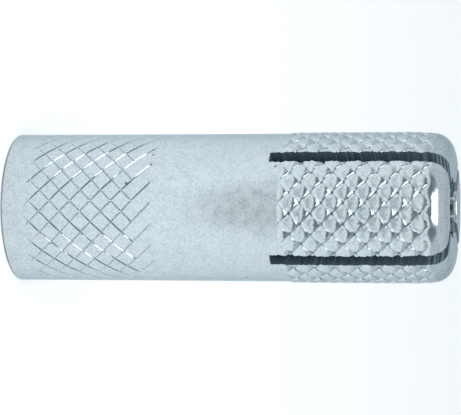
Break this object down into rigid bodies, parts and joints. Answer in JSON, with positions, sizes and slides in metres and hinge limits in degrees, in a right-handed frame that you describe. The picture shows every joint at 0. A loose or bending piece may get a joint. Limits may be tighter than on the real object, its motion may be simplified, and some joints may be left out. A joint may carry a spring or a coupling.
{
  "type": "drop-in anchor",
  "caption": "Drop-in anchor: a knurled steel sleeve with a threaded mouth, a slotted expansion end with a rounded nose, and a tapered expander plug inside.",
  "frame": {"origin": "centre of the mouth face, where the threaded bore opens; the anchor stands on that face", "axes": "+Z along the anchor's axis, from the threaded mouth to the expansion end; +X and +Y run through the middle of two leaves, so the saw slots lie close to the diagonals"},
  "size_m": [0.0102, 0.0102, 0.03],
  "materials": {
    "zinc_plated_steel": "bright blue-white zinc plate over cold-formed steel, satin on the barrel, sharp glints in the knurl",
    "plug_steel": "turned steel, zinc plated, darker inside the sleeve"
  },
  "bodies": {
    "sleeve": {"sleeve": "zinc_plated_steel"},
    "plug": {"expander_plug": "plug_steel"}
  },
  "joints": [
    {"name": "plug_drive", "type": "slide", "parent": "sleeve", "child": "plug", "axis": [0, 0, 1], "range_m": [0, 0.0042]}
  ]
}
